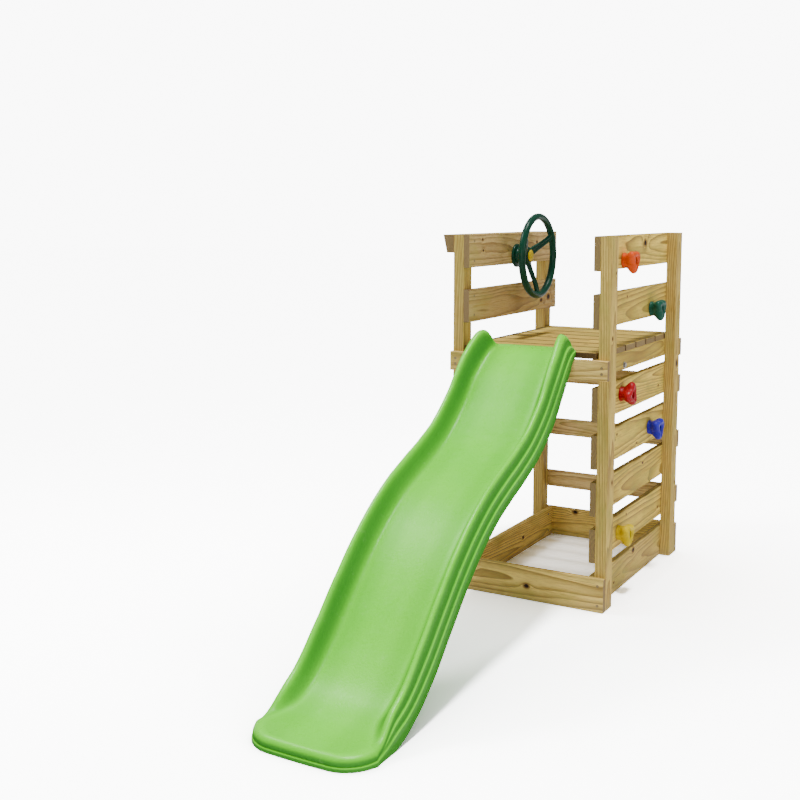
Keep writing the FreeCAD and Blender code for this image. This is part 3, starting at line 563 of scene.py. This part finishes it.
def make_slide():
    """One thin moulding: a flat bed, rounded rails with two stepped ledges outside, a lip on the deck
    and a rounded foot with a groove round its edge."""
    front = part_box("post_front_left")[0].y * 1000
    middle = (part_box("post_front_left")[0].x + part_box("post_front_right")[1].x) * 500
    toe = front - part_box("slide")[0].y * 1000
    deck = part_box("deck_front_strip")[1].z * 1000 + 0.3
    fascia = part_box("front_fascia")[1].z * 1000 + 0.8
    half = 190.3     # half the width over the rails
    corner = 92.0    # radius of the foot's corners
    bulge = 8.0      # how far the toe bows forward
    columns = 16     # strips across the bed

    def crest_scale(ahead):
        """The crest's share of its full height, rounded off except at the lip."""
        sharp = between(CREST_SCALE, ahead)
        rounded = sum(between(CREST_SCALE, ahead + shift) for shift in (-14, -7, 0, 7, 14)) / 5
        return sharp + (rounded - sharp) * min(max(ahead / 14, 0.0), 1.0)

    def underside(ahead, height, stretch):
        """Height of the rail's lower edge: on the deck, over the fascia, then below the bed."""
        if ahead <= 0:
            return deck
        if ahead <= 24:
            return deck + (fascia - deck) * ahead / 24
        hang = (43.0 + 7.0 * (1 - blend_step(60, 400, ahead))) * stretch
        start = height - fascia
        lower = height - (start + (hang - start) * min((ahead - 24) / 40, 1.0))
        return max(lower * (1 - blend_step(1140, 1300, ahead)), 0.0)

    def profile(ahead):
        """The bed's height and half-width at a distance ahead, and the rail's steps: how far out from
        the bed's edge and how high above the bed."""
        height, steep = bed_height(ahead)
        stretch = math.sqrt(1 + steep * steep)
        rail = crest_scale(ahead)
        foot = blend_step(*FOOT_BLEND, ahead)
        # the moulding narrows to pass between the posts, and its crest leans inward near the top
        neck = 1 - blend_step(-38, 10, ahead)
        flare = 13.0 * (1 - blend_step(60, 320, ahead))
        lower = underside(ahead, height, stretch)
        steps = []
        for (out, up), (foot_out, foot_up) in zip(RAIL, FOOT):
            if up >= 0:
                rise = up * stretch * rail
                if rail < 0.999:
                    rise -= (1 - rail) * 1.2 * blend_step(45, 62, out)
            else:
                rise = up / -RAIL[-1][1] * (height - lower)
            rise = max(rise, lower - height)
            foot_rise = foot_up / -FOOT[-1][1] * height
            inward = flare * blend_step(0, 44, out) * (1 - blend_step(50, 64, out))
            steps.append((out - inward + (foot_out - out) * foot, rise + (foot_rise - rise) * foot))
        width = half - 40.0 * neck - 12.0 * (1 - blend_step(0, 190, ahead))
        width -= RAIL[-1][0] + (FOOT[-1][0] - RAIL[-1][0]) * foot
        return height, width, steps

    stations = [-38, -28, -16, -8, -4, -1, 3, 8, 13, 18, 24]
    stations += list(range(32, 1200, 8)) + list(range(1200, 1340, 6)) + [1344]
    start = toe - corner - bulge

    points, faces = [], []

    def add(x, ahead, z):
        points.append(Vector(((middle + x) / 1000, (front - ahead) / 1000, z / 1000)))
        return len(points) - 1

    # the border of the bed, as (x, ahead, outward direction, height, profile)
    right = []
    for ahead in [station for station in stations if station < start] + [start]:
        height, width, steps = profile(ahead)
        right.append((width, ahead, (1.0, 0.0), height, steps))
    width = profile(toe)[1]
    inner = corner - FOOT[-1][0]
    for step in range(1, 10):
        angle = math.radians(10 * step)
        x = width - inner * (1 - math.cos(angle))
        forward = start + inner * math.sin(angle)
        share = step / 9.0
        ahead = forward + bulge * share * (1 - (x / half) ** 2) * blend_step(0, 1, share)
        height, _, steps = profile(ahead)
        right.append((x, ahead, (math.cos(angle), math.sin(angle)), height, steps))
    last_x, last_ahead = right[-1][:2]
    toe_inner = toe - FOOT[-1][0]
    border = list(right)
    for number in range(1, columns):
        x = last_x * (1 - 2 * number / columns)
        bow = 1 - (x / last_x) ** 2
        ahead = last_ahead + (toe_inner - last_ahead) * bow
        height, _, steps = profile(ahead)
        border.append((x, ahead, (x / half * 0.08, 1.0), height, steps))
    border += [(-x, ahead, (-way[0], way[1]), z, steps) for x, ahead, way, z, steps in reversed(right)]

    rings = []
    for x, ahead, way, z, steps in border:
        size = math.hypot(*way)
        ring = [add(x + out * way[0] / size, ahead + out * way[1] / size, z + up) for out, up in steps]
        rings.append(ring)
    for here, there in zip(rings, rings[1:]):
        for step in range(len(RAIL) - 1):
            faces.append((here[step], here[step + 1], there[step + 1], there[step]))

    # the bed between the two borders, then the last strip to the bowed front row
    rows = []
    for (x, ahead, _, z, _), ring, other in zip(right, rings, reversed(rings)):
        row = [ring[0]]
        row += [add(x * (1 - 2 * number / columns), ahead, z) for number in range(1, columns)]
        rows.append(row + [other[0]])
    rows[-1] = [ring[0] for ring in rings[len(right) - 1:len(right) + columns]]
    for here, there in zip(rows, rows[1:]):
        for number in range(columns):
            faces.append((here[number], there[number], there[number + 1], here[number + 1]))
    slide = solid_from("slide_moulding", points, faces, PLASTICS["lime_plastic"], smooth_angle=60)
    mark_creases(slide, points, border, rings)
    shell = slide.modifiers.new("wall", "SOLIDIFY")
    shell.thickness = 0.0045
    shell.offset = -1.0
    shell.use_rim = True
    bake(slide)

    # the flange that is bolted to the fascia
    points, faces = [], []
    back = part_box("front_fascia")[0].y * 1000 - 0.3
    floor_z, top_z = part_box("front_fascia")[0].z * 1000 + 16, fascia + 18
    outline = []
    round_corner = 12.0
    side, foot_z = 118, floor_z + round_corner
    for centre_x, centre_z, start_angle in ((side, top_z, 0), (-side, top_z, 90), (-side, foot_z, 180),
                                            (side, foot_z, 270)):
        for angle in range(0, 91, 15):
            turn = math.radians(start_angle + angle)
            drop = 0.0 if centre_z == top_z else round_corner
            outline.append((centre_x + drop * math.cos(turn), centre_z + drop * math.sin(turn)))
    rims = []
    for away, shrink in ((0.0, 0.0), (4.0, 0.0), (5.0, 1.0)):
        rims.append([Vector(((middle + x * (1 - shrink / 130)) / 1000, (back - away) / 1000,
                             (z + (shrink if z < top_z - 20 else 0)) / 1000)) for x, z in outline])
    tube(points, faces, rims)
    flange = solid_from("slide_flange", points, faces, PLASTICS["lime_plastic"], smooth_angle=30)
    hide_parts("slide")


make_slide()

# ------------------------------------------------------------------ steering wheel
def ring_solid(points, faces, centre, profile, count=72):
    """Adds a closed ring turned about an axis along X; profile is a closed loop of (x offset, radius)."""
    rings = []
    for step in range(count):
        turn = 2 * math.pi * step / count
        rings.append([Vector((centre.x + offset, centre.y + radius * math.cos(turn),
                              centre.z + radius * math.sin(turn))) for offset, radius in profile])
    tube(points, faces, rings, closed=True)


def metres(profile):
    """A profile in millimetres, turned into metres."""
    return [(offset / 1000, radius / 1000) for offset, radius in profile]


# Half-widths and half-thicknesses round a spoke's section, with the groove in its face.
SPOKE = ((1.0, 0.0), (0.92, 0.62), (0.66, 0.95), (0.36, 0.9), (0.0, 0.42), (-0.36, 0.9), (-0.66, 0.95),
         (-0.92, 0.62), (-1.0, 0.0), (-0.86, -0.66), (-0.4, -1.0), (0.4, -1.0), (0.86, -0.66))
# Outlines turned about the wheel's axis, in millimetres: (from the rail outward, radius).
HUB = [(29, 13.0), (29, 22), (30, 27), (33, 31), (38, 34), (45, 35), (53, 33.6), (58, 30), (60, 25.5),
       (60, 22.9), (58.7, 22.4), (58.7, 19.2), (47.6, 19.2), (47.4, 13.0)]
CAP = [(56.3, 18.0), (56.6, 18.5), (59.9, 18.6), (60.1, 21.6), (60.6, 22.3), (61.6, 22.5), (62.8, 22.0),
       (64.2, 20.4), (65.4, 18.0), (66.2, 14.4), (66.7, 10.0), (66.95, 5.4), (67.0, 1.0)]
BASE = [(0, 4.2), (0, 44.2), (0.8, 45), (6.5, 45), (8.4, 44.3), (9.6, 42.6), (10, 40.5), (10.2, 34),
        (11.2, 31), (13.4, 29.2), (17, 28.3), (25.5, 28), (27.3, 27.4), (28, 26), (28, 12.0), (47.4, 12.0),
        (48, 11.5), (48, 4.2)]


def make_wheel():
    """A dished wheel moulded in one piece: round rim, three grooved spokes and a rounded hub."""
    low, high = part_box("steering_wheel")
    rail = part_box("rail_left_top")[1].x
    centre = Vector((rail, *frame["joints"][0]["pos_m"][1:]))
    tube_radius = high.x - low.x - 0.0624
    rim_x = high.x - tube_radius
    radius = (high.y - low.y) / 2 - tube_radius
    points, faces = [], []
    rings = []
    for step in range(160):
        turn = 2 * math.pi * step / 160
        ring = []
        for part in range(20):
            side = 2 * math.pi * part / 20
            out = tube_radius * math.cos(side) * (1.0 if math.cos(side) > 0 else 0.86)
            reach = radius + out
            ring.append(Vector((rim_x + tube_radius * math.sin(side), centre.y + reach * math.cos(turn),
                                centre.z + reach * math.sin(turn))))
        rings.append(ring)
    tube(points, faces, rings, closed=True)
    hub_x = low.x + 0.016
    thick = 0.0082
    for angle in (30, 150, 270):
        turn = math.radians(angle)
        out = Vector((0, math.cos(turn), math.sin(turn)))
        side = Vector((0, -math.sin(turn), math.cos(turn)))
        rings = []
        for step in range(15):
            share = step / 14
            along = 0.022 + (radius - 0.022) * share
            rise = hub_x + (rim_x - hub_x) * blend_step(-0.25, 1.05, share)
            wide = 0.0182 - 0.0060 * math.sin(math.pi / 2 * min(share * 1.3, 1.0))
            base = Vector((rise, centre.y, centre.z)) + out * along
            rings.append([base + side * wide * a + Vector((thick * b, 0, 0)) for a, b in SPOKE])
        tube(points, faces, rings)
    ring_solid(points, faces, centre, metres(HUB))
    wheel = solid_from("wheel_moulding", points, faces, PLASTICS["wheel_green"], "wheel")
    remesh(wheel, 0.0014, 4)
    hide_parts("steering_wheel")

    points, faces = [], []
    turned(points, faces, centre, metres(CAP))
    cap = solid_from("wheel_cap_dome", points, faces, PLASTICS["yellow_plastic"], "wheel", 40)
    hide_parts("wheel_cap")

    points, faces = [], []
    ring_solid(points, faces, centre, metres(BASE))
    flange = solid_from("wheel_base_flange", points, faces, PLASTICS["wheel_green"], "tower", 40)
    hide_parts("wheel_base")


make_wheel()

# ------------------------------------------------------------------ climbing holds
# Steps of a hold's skin, from the wall, round the lobes and into the bolt's recess, in millimetres:
# distance from the wall, mean radius, depth of the three lobes.
HOLD_SKIN = (
    (0, 27, 0), (2, 27, 0.1), (6, 26.3, 0.5), (10, 25.7, 1.2), (14, 25.8, 2.2), (18, 27.4, 3.6),
    (22, 30.4, 5.4), (26, 33.4, 7.2), (30, 35.6, 8.4), (34, 36.6, 9.1), (38, 36.8, 9.3), (42, 36.2, 9.2),
    (45.5, 34.8, 8.8), (48.2, 32.8, 8.0), (50.2, 30.2, 6.8), (51.5, 27.2, 5.2), (51.9, 24, 3.6),
    (51.4, 21, 2.2), (50.2, 18.4, 1.2), (48.8, 16.2, 0.5), (47.8, 14.6, 0.1), (46.9, 13.5, 0),
    (45, 13.0, 0), (40, 12.9, 0), (33, 12.8, 0), (32.2, 12.2, 0), (32, 10.5, 0), (32, 4.3, 0),
    (16, 4.2, 0), (0, 4.2, 0),
)
# How far each hold is turned on its bolt, in degrees.
HOLDS = {"orange": 62.0, "green": 58.0, "red": 20.0, "blue": 55.0, "yellow": 66.0}


def make_hold(name, turn_degrees, seed):
    """A moulded three-lobed hold, dished towards its bolt, with a finger pocket in one lobe."""
    dice = random.Random(seed)
    node = "climbing_hold_" + name
    low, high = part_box(node)
    bolts = [corner for corner in bolt_places if low.y < corner.y < high.y and low.z < corner.z < high.z]
    centre = Vector((low.x, bolts[0].y, bolts[0].z))
    scale = (high.x - low.x) / 0.052
    turn = math.radians(turn_degrees)
    waves = [(dice.uniform(0, 6.28), dice.uniform(0, 6.28), dice.choice((2, 4, 5))) for _ in range(3)]
    pockets = [(turn + math.radians(120 * lobe), dice.uniform(26, 29), depth)
               for lobe, depth in ((0, 1.5), (1, 7.0), (2, 2.5))]
    rings = []
    count = 72
    for step in range(count):
        angle = 2 * math.pi * step / count
        ring = []
        for distance, mean, lobe in HOLD_SKIN:
            reach = mean + lobe * math.cos(3 * (angle - turn))
            sunk = 0.0
            if lobe > 0.3:
                for phase, shift, count_waves in waves:
                    reach += 0.35 * math.sin(count_waves * angle + phase + distance * 0.12 + shift)
            if distance > 44 and mean > 13.6:
                for pocket_angle, pocket_reach, pocket_depth in pockets:
                    apart = math.hypot(reach * math.cos(angle) - pocket_reach * math.cos(pocket_angle),
                                       reach * math.sin(angle) - pocket_reach * math.sin(pocket_angle))
                    sunk += pocket_depth * (1 - blend_step(2.5, 9.5, apart))
                sunk += 1.4 * (1 - blend_step(14, 26, reach))
            ring.append(centre + Vector(((distance - sunk) * 0.001 * scale, reach * math.sin(angle) / 1000,
                                         reach * math.cos(angle) / 1000)))
        rings.append(ring)
    points, faces = [], []
    tube(points, faces, rings, closed=True)
    hold = solid_from(node + "_moulding", points, faces, PLASTICS[name + "_plastic"], "tower", 55)
    finer = hold.modifiers.new("finer", "SUBSURF")
    finer.levels = finer.render_levels = 1
    bake(hold)
    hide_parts(node)


def islands(name):
    """Boxes (lowest, highest corner) of the separate solids in one CAD node."""
    mesh = frame["nodes"][name].data
    shape = bmesh.new()
    shape.from_mesh(mesh)
    bmesh.ops.remove_doubles(shape, verts=shape.verts, dist=1e-6)
    seen, boxes = set(), []
    for start in shape.verts:
        if start.index in seen:
            continue
        stack, corners = [start], []
        seen.add(start.index)
        while stack:
            vert = stack.pop()
            corners.append(vert.co.copy())
            for edge in vert.link_edges:
                other = edge.other_vert(vert)
                if other.index not in seen:
                    seen.add(other.index)
                    stack.append(other)
        boxes.append((Vector(min(c[i] for c in corners) for i in range(3)),
                      Vector(max(c[i] for c in corners) for i in range(3))))
    shape.free()
    return boxes


bolt_places = [(corner + other) / 2 for corner, other in islands("hold_bolts")]
for number, (name, turn) in enumerate(HOLDS.items()):
    make_hold(name, turn, 40 + number)

# ------------------------------------------------------------------ floor and light
# The surround: as bright as it is seen, and as strong as it lights.
SEEN_WORLD = 9.5
WORLD_LIGHT = 0.36
# The floor's colour as it is seen, drifting between two, and as it throws light back up.
SEEN_FLOOR = ((5.6, 5.6, 5.6), (5.75, 5.75, 5.75))
FLOOR_LIGHT = (0.80, 0.80, 0.80)


def is_seen(tree):
    """1 where the surface is seen directly, 0 where it only lights other things."""
    return tree.nodes.new("ShaderNodeLightPath").outputs["Is Camera Ray"]


def make_floor():
    """A white studio floor, seen brighter than the light that it throws back up, with painted shade in its
    seen colour where the object stands over it."""
    mesh = bpy.data.meshes.new("floor")
    reach = 30.0
    corners = [(-reach, -reach, 0), (reach, -reach, 0), (reach, reach, 0), (-reach, reach, 0)]
    mesh.from_pydata(corners, [], [(0, 1, 2, 3)])
    floor = bpy.data.objects.new("floor", mesh)
    bpy.context.scene.collection.objects.link(floor)
    material, tree, shader = new_material("floor")
    place = place_of(tree)
    white = mix(tree, noise(tree, place, 3.0, 2.0), *SEEN_FLOOR)
    # painted shade: the seen floor darkens by ambient occlusion under and beside the object
    floor_shade_ao = tree.nodes.new("ShaderNodeAmbientOcclusion")
    floor_shade_ao.inputs["Distance"].default_value = 1.2
    floor_shade_ao.samples = 32
    shade = remap(tree, floor_shade_ao.outputs["AO"], 0.0, 1.0, 0.08, 1.0, smooth=False)
    white = mix(tree, 1.0, white, join(tree, shade, shade, shade), "MULTIPLY")
    base = mix(tree, is_seen(tree), FLOOR_LIGHT, white)
    tree.links.new(base, shader.inputs["Base Color"])
    shader.inputs["Roughness"].default_value = 0.9
    shader.inputs["Specular IOR Level"].default_value = 0.1
    mesh.materials.append(material)


def make_lamp(name, kind, energy, place, aim, size):
    """A lamp aimed at a point. Its size is a sun's angle in degrees, or a disk's diameter in metres."""
    data = bpy.data.lights.new(name, kind)
    data.energy = energy
    if kind == "SUN":
        data.angle = math.radians(size)
    else:
        data.shape = "DISK"
        data.size = size
    lamp = bpy.data.objects.new(name, data)
    lamp.location = place
    lamp.rotation_euler = (Vector(aim) - Vector(place)).to_track_quat("-Z", "Y").to_euler()
    bpy.context.scene.collection.objects.link(lamp)


def make_light():
    """A sun overhead, two very soft suns as fills from the right and the front, a small lamp on the left
    for the sheen of the slide, and a white surround."""
    world = bpy.data.worlds.new("studio")
    world.use_nodes = True
    tree = world.node_tree
    background = tree.nodes["Background"]
    background.inputs["Color"].default_value = (1.0, 1.0, 1.0, 1.0)
    strength = calc(tree, "MULTIPLY_ADD", is_seen(tree), SEEN_WORLD - WORLD_LIGHT, WORLD_LIGHT)
    feed(tree, background.inputs["Strength"], strength)
    bpy.context.scene.world = world
    middle = (0.0, 0.4, 0.7)
    make_lamp("overhead", "SUN", 4.0, (0.35, 0.2, 6.0), (0.0, 0.4, 0.0), 6.5)
    make_lamp("right", "SUN", 1.25, (9.3, -1.3, 1.9), middle, 30)
    make_lamp("sheen", "AREA", 44.0, (-1.95, -0.3, 3.1), (0.0, -0.3, 0.55), 0.8)
    make_lamp("front", "SUN", 0.75, (1.9, -9.6, 2.0), middle, 28)


def make_camera():
    """The camera, fitted to the corners of the tower."""
    data = bpy.data.cameras.new("camera")
    data.lens = 51.16
    data.sensor_width = 36.0
    data.shift_y = -0.08
    camera = bpy.data.objects.new("camera", data)
    camera.location = (1.6054, -3.3398, 1.3723)
    camera.rotation_euler = (math.radians(90 - 6.252), 0, math.radians(30.138))
    bpy.context.scene.collection.objects.link(camera)
    bpy.context.scene.camera = camera


make_floor()
make_light()
make_camera()
